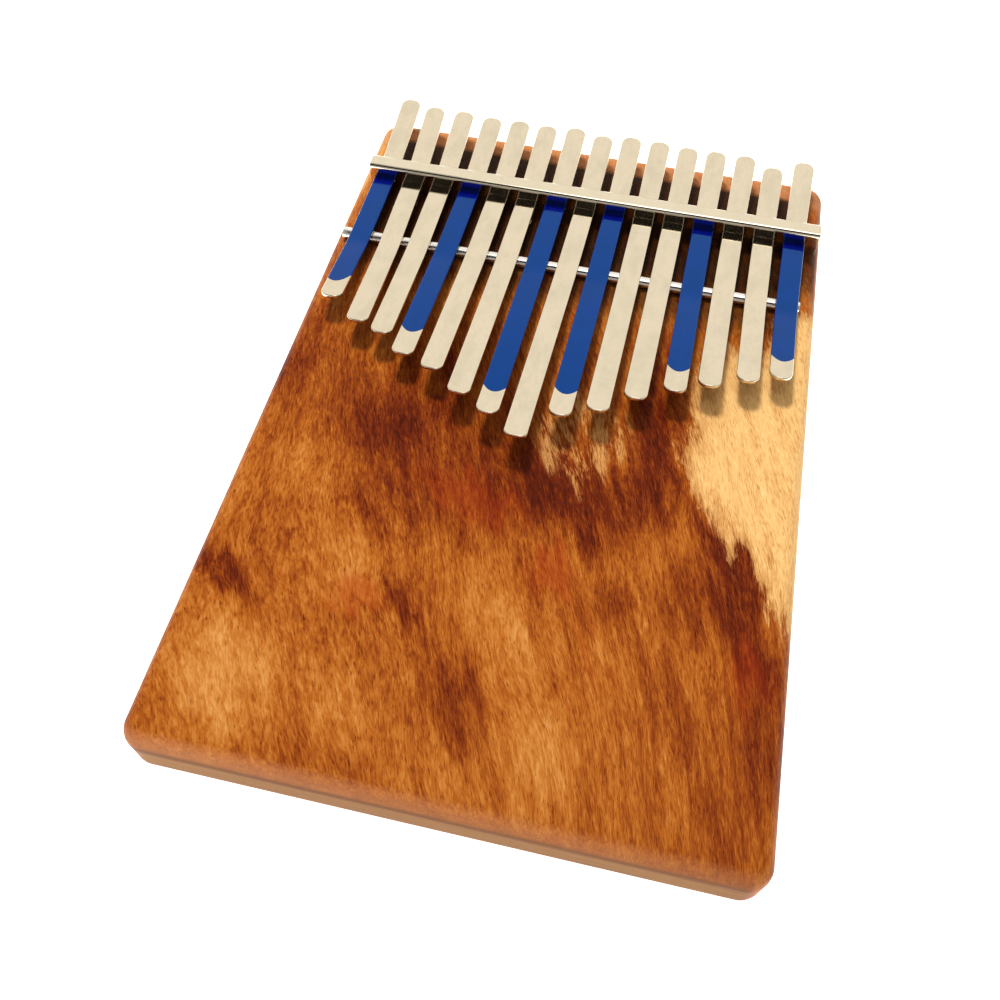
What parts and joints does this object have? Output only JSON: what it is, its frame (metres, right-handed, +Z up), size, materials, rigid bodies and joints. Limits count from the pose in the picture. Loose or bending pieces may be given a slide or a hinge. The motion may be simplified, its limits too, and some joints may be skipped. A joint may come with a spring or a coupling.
{
  "type": "board-mounted lamellophone",
  "caption": "Thumb piano: a rounded hardwood board with a slotted steel bridge, a steel nut rod and flat sprung steel tines, some painted, raised at tip and tail.",
  "frame": {"origin": "centre of the board's underside, on the surface it rests on", "axes": "+X to the player's right, +Y along the board from the player towards the bridge, +Z up"},
  "size_m": [0.135, 0.2049, 0.022],
  "materials": {
    "board_wood": "satin oiled hardwood, open grain",
    "rod_steel": "bright drawn rod",
    "bridge_nickel": "nickel plated bent sheet",
    "screw_steel": "plated countersunk wood screws",
    "tine_steel": "plated spring steel, lightly rubbed",
    "tine_paint": "gloss blue lacquer on spring steel"
  },
  "bodies": {
    "frame": {"soundboard": "board_wood", "nut_rod": "rod_steel", "bridge": "bridge_nickel", "bridge_screws": "screw_steel"},
    "tine_01_shank": {"tine_01_shank": "tine_steel"},
    "tine_01_tongue": {"tine_01_tongue": "tine_paint"},
    "tine_02_shank": {"tine_02_shank": "tine_steel"},
    "tine_02_tongue": {"tine_02_tongue": "tine_steel"},
    "tine_03_shank": {"tine_03_shank": "tine_steel"},
    "tine_03_tongue": {"tine_03_tongue": "tine_steel"},
    "tine_04_shank": {"tine_04_shank": "tine_steel"},
    "tine_04_tongue": {"tine_04_tongue": "tine_paint"},
    "tine_05_shank": {"tine_05_shank": "tine_steel"},
    "tine_05_tongue": {"tine_05_tongue": "tine_steel"},
    "tine_06_shank": {"tine_06_shank": "tine_steel"},
    "tine_06_tongue": {"tine_06_tongue": "tine_steel"},
    "tine_07_shank": {"tine_07_shank": "tine_steel"},
    "tine_07_tongue": {"tine_07_tongue": "tine_paint"},
    "tine_08_shank": {"tine_08_shank": "tine_steel"},
    "tine_08_tongue": {"tine_08_tongue": "tine_steel"},
    "tine_09_shank": {"tine_09_shank": "tine_steel"},
    "tine_09_tongue": {"tine_09_tongue": "tine_paint"},
    "tine_10_shank": {"tine_10_shank": "tine_steel"},
    "tine_10_tongue": {"tine_10_tongue": "tine_steel"},
    "tine_11_shank": {"tine_11_shank": "tine_steel"},
    "tine_11_tongue": {"tine_11_tongue": "tine_steel"},
    "tine_12_shank": {"tine_12_shank": "tine_steel"},
    "tine_12_tongue": {"tine_12_tongue": "tine_paint"},
    "tine_13_shank": {"tine_13_shank": "tine_steel"},
    "tine_13_tongue": {"tine_13_tongue": "tine_steel"},
    "tine_14_shank": {"tine_14_shank": "tine_steel"},
    "tine_14_tongue": {"tine_14_tongue": "tine_steel"},
    "tine_15_shank": {"tine_15_shank": "tine_steel"},
    "tine_15_tongue": {"tine_15_tongue": "tine_paint"}
  },
  "joints": [
    {"name": "tine_01_tuning", "type": "slide", "parent": "frame", "child": "tine_01_shank", "axis": [0, 1, 0], "range_m": [-0.002, 0.002]},
    {"name": "tine_01_pluck", "type": "hinge", "parent": "tine_01_shank", "child": "tine_01_tongue", "pos_m": [-0.05915, 0.0465, 0.01725], "axis": [1, 0, 0], "range_deg": [-1.5, 2.5], "stiffness_Nm_per_rad": 11.2},
    {"name": "tine_02_tuning", "type": "slide", "parent": "frame", "child": "tine_02_shank", "axis": [-0.014, 0.9999, 0], "range_m": [-0.002, 0.002]},
    {"name": "tine_02_pluck", "type": "hinge", "parent": "tine_02_shank", "child": "tine_02_tongue", "pos_m": [-0.05032, 0.0465, 0.01725], "axis": [0.9999, 0.014, 0], "range_deg": [-1.5, 2.5], "stiffness_Nm_per_rad": 8.9},
    {"name": "tine_03_tuning", "type": "slide", "parent": "frame", "child": "tine_03_shank", "axis": [0.007, 1, 0], "range_m": [-0.002, 0.002]},
    {"name": "tine_03_pluck", "type": "hinge", "parent": "tine_03_shank", "child": "tine_03_tongue", "pos_m": [-0.04244, 0.0465, 0.01725], "axis": [1, -0.007, 0], "range_deg": [-1.5, 2.5], "stiffness_Nm_per_rad": 8.2},
    {"name": "tine_04_tuning", "type": "slide", "parent": "frame", "child": "tine_04_shank", "axis": [0.0244, 0.9997, 0], "range_m": [-0.002, 0.002]},
    {"name": "tine_04_pluck", "type": "hinge", "parent": "tine_04_shank", "child": "tine_04_tongue", "pos_m": [-0.03446, 0.04651, 0.01725], "axis": [0.9997, -0.0244, 0], "range_deg": [-1.5, 2.5], "stiffness_Nm_per_rad": 7.1},
    {"name": "tine_05_tuning", "type": "slide", "parent": "frame", "child": "tine_05_shank", "axis": [0.0244, 0.9997, 0], "range_m": [-0.002, 0.002]},
    {"name": "tine_05_pluck", "type": "hinge", "parent": "tine_05_shank", "child": "tine_05_tongue", "pos_m": [-0.02601, 0.04651, 0.01725], "axis": [0.9997, -0.0244, 0], "range_deg": [-1.5, 2.5], "stiffness_Nm_per_rad": 6.6},
    {"name": "tine_06_tuning", "type": "slide", "parent": "frame", "child": "tine_06_shank", "axis": [0.0227, 0.9997, 0], "range_m": [-0.002, 0.002]},
    {"name": "tine_06_pluck", "type": "hinge", "parent": "tine_06_shank", "child": "tine_06_tongue", "pos_m": [-0.01752, 0.04651, 0.01725], "axis": [0.9997, -0.0227, 0], "range_deg": [-1.5, 2.5], "stiffness_Nm_per_rad": 5.8},
    {"name": "tine_07_tuning", "type": "slide", "parent": "frame", "child": "tine_07_shank", "axis": [0.0244, 0.9997, 0], "range_m": [-0.002, 0.002]},
    {"name": "tine_07_pluck", "type": "hinge", "parent": "tine_07_shank", "child": "tine_07_tongue", "pos_m": [-0.00911, 0.04651, 0.01725], "axis": [0.9997, -0.0244, 0], "range_deg": [-1.5, 2.5], "stiffness_Nm_per_rad": 5.3},
    {"name": "tine_08_tuning", "type": "slide", "parent": "frame", "child": "tine_08_shank", "axis": [0.0262, 0.9997, 0], "range_m": [-0.002, 0.002]},
    {"name": "tine_08_pluck", "type": "hinge", "parent": "tine_08_shank", "child": "tine_08_tongue", "pos_m": [-0.00071, 0.04651, 0.01725], "axis": [0.9997, -0.0262, 0], "range_deg": [-1.5, 2.5], "stiffness_Nm_per_rad": 4.9},
    {"name": "tine_09_tuning", "type": "slide", "parent": "frame", "child": "tine_09_shank", "axis": [0.0209, 0.9998, 0], "range_m": [-0.002, 0.002]},
    {"name": "tine_09_pluck", "type": "hinge", "parent": "tine_09_shank", "child": "tine_09_tongue", "pos_m": [0.00788, 0.04651, 0.01725], "axis": [0.9998, -0.0209, 0], "range_deg": [-1.5, 2.5], "stiffness_Nm_per_rad": 5.7},
    {"name": "tine_10_tuning", "type": "slide", "parent": "frame", "child": "tine_10_shank", "axis": [0.0192, 0.9998, 0], "range_m": [-0.002, 0.002]},
    {"name": "tine_10_pluck", "type": "hinge", "parent": "tine_10_shank", "child": "tine_10_tongue", "pos_m": [0.01638, 0.0465, 0.01725], "axis": [0.9998, -0.0192, 0], "range_deg": [-1.5, 2.5], "stiffness_Nm_per_rad": 6.1},
    {"name": "tine_11_tuning", "type": "slide", "parent": "frame", "child": "tine_11_shank", "axis": [0.0209, 0.9998, 0], "range_m": [-0.002, 0.002]},
    {"name": "tine_11_pluck", "type": "hinge", "parent": "tine_11_shank", "child": "tine_11_tongue", "pos_m": [0.02478, 0.04651, 0.01725], "axis": [0.9998, -0.0209, 0], "range_deg": [-1.5, 2.5], "stiffness_Nm_per_rad": 6.9},
    {"name": "tine_12_tuning", "type": "slide", "parent": "frame", "child": "tine_12_shank", "axis": [0.0122, 0.9999, 0], "range_m": [-0.002, 0.002]},
    {"name": "tine_12_pluck", "type": "hinge", "parent": "tine_12_shank", "child": "tine_12_tongue", "pos_m": [0.03347, 0.0465, 0.01725], "axis": [0.9999, -0.0122, 0], "range_deg": [-1.5, 2.5], "stiffness_Nm_per_rad": 7.8},
    {"name": "tine_13_tuning", "type": "slide", "parent": "frame", "child": "tine_13_shank", "axis": [0.0175, 0.9998, 0], "range_m": [-0.002, 0.002]},
    {"name": "tine_13_pluck", "type": "hinge", "parent": "tine_13_shank", "child": "tine_13_tongue", "pos_m": [0.04178, 0.0465, 0.01725], "axis": [0.9998, -0.0175, 0], "range_deg": [-1.5, 2.5], "stiffness_Nm_per_rad": 8.6},
    {"name": "tine_14_tuning", "type": "slide", "parent": "frame", "child": "tine_14_shank", "axis": [0.0052, 1, 0], "range_m": [-0.002, 0.002]},
    {"name": "tine_14_pluck", "type": "hinge", "parent": "tine_14_shank", "child": "tine_14_tongue", "pos_m": [0.05056, 0.0465, 0.01725], "axis": [1, -0.0052, 0], "range_deg": [-1.5, 2.5], "stiffness_Nm_per_rad": 9.7},
    {"name": "tine_15_tuning", "type": "slide", "parent": "frame", "child": "tine_15_shank", "axis": [0.014, 0.9999, 0], "range_m": [-0.002, 0.002]},
    {"name": "tine_15_pluck", "type": "hinge", "parent": "tine_15_shank", "child": "tine_15_tongue", "pos_m": [0.05877, 0.0465, 0.01725], "axis": [0.9999, -0.014, 0], "range_deg": [-1.5, 2.5], "stiffness_Nm_per_rad": 10.7}
  ]
}
